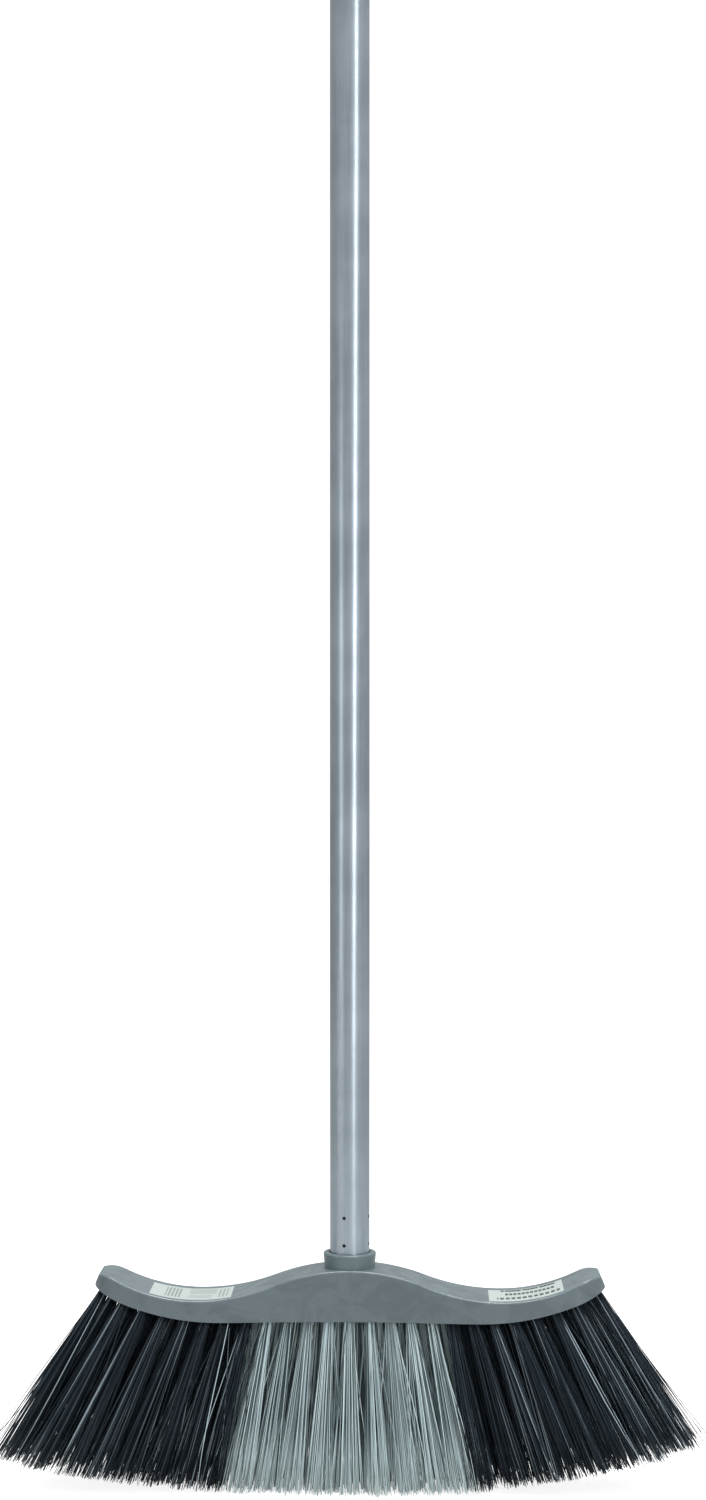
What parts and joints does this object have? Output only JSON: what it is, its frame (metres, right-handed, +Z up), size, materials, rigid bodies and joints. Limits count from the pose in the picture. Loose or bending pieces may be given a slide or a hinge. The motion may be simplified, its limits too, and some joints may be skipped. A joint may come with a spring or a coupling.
{
  "type": "upright broom",
  "caption": "Upright indoor broom: wave-topped moulded block with four rows of fanned tufts, screw-in tubular metal handle and swivelling hanging eye.",
  "frame": {"origin": "on the handle's axis, at the lowest tips of the bristles", "axes": "+Z up the handle, +X along the block, -Y is the front with the labels nearer to it"},
  "size_m": [0.387, 0.0526, 1.3283],
  "materials": {
    "block_plastic": "moulded mid grey plastic with faint flow marks",
    "socket_plastic": "moulded grey plastic, slightly greener than the block",
    "label_paper": "white self-adhesive label with neutral bars",
    "black_bristle": "black crimp-free synthetic filament",
    "grey_bristle": "light grey synthetic filament",
    "anchor_wire": "flat steel wire",
    "tube_paint": "silver grey coated steel tube with a lengthwise seam",
    "tip_plastic": "dark moulded plastic",
    "plug_plastic": "moulded grey plastic",
    "hanger_plastic": "moulded grey plastic"
  },
  "bodies": {
    "head": {"broom_block": "block_plastic", "handle_socket": "socket_plastic", "label_left": "label_paper", "label_right": "label_paper", "tufts_front_left": "black_bristle", "tufts_front_centre": "grey_bristle", "tufts_front_right": "black_bristle", "tufts_inner_front_left": "black_bristle", "tufts_inner_front_centre": "grey_bristle", "tufts_inner_front_right": "black_bristle", "tufts_inner_back_left": "black_bristle", "tufts_inner_back_centre": "grey_bristle", "tufts_inner_back_right": "black_bristle", "tufts_back_left": "black_bristle", "tufts_back_centre": "grey_bristle", "tufts_back_right": "black_bristle", "anchors_front": "anchor_wire", "anchors_inner_front": "anchor_wire", "anchors_inner_back": "anchor_wire", "anchors_back": "anchor_wire"},
    "plug": {"end_plug": "plug_plastic"},
    "handle": {"handle_tube": "tube_paint", "threaded_tip": "tip_plastic"},
    "hanger": {"hanger_eye": "hanger_plastic"}
  },
  "joints": [
    {"name": "handle_lift", "type": "slide", "parent": "head", "child": "plug", "axis": [0, 0, 1], "range_m": [0, 0.01524]},
    {"name": "handle_turn", "type": "hinge", "parent": "plug", "child": "handle", "pos_m": [0, 0, 0.13], "axis": [0, 0, 1], "range_deg": [0, 1080]},
    {"name": "hanger_swivel", "type": "hinge", "parent": "plug", "child": "hanger", "pos_m": [0, 0, 1.3043], "axis": [0, 0, 1], "continuous": true}
  ],
  "couplings": [
    {"joint": "handle_turn", "follows": "handle_lift", "rad_per_m": 1236.8}
  ]
}
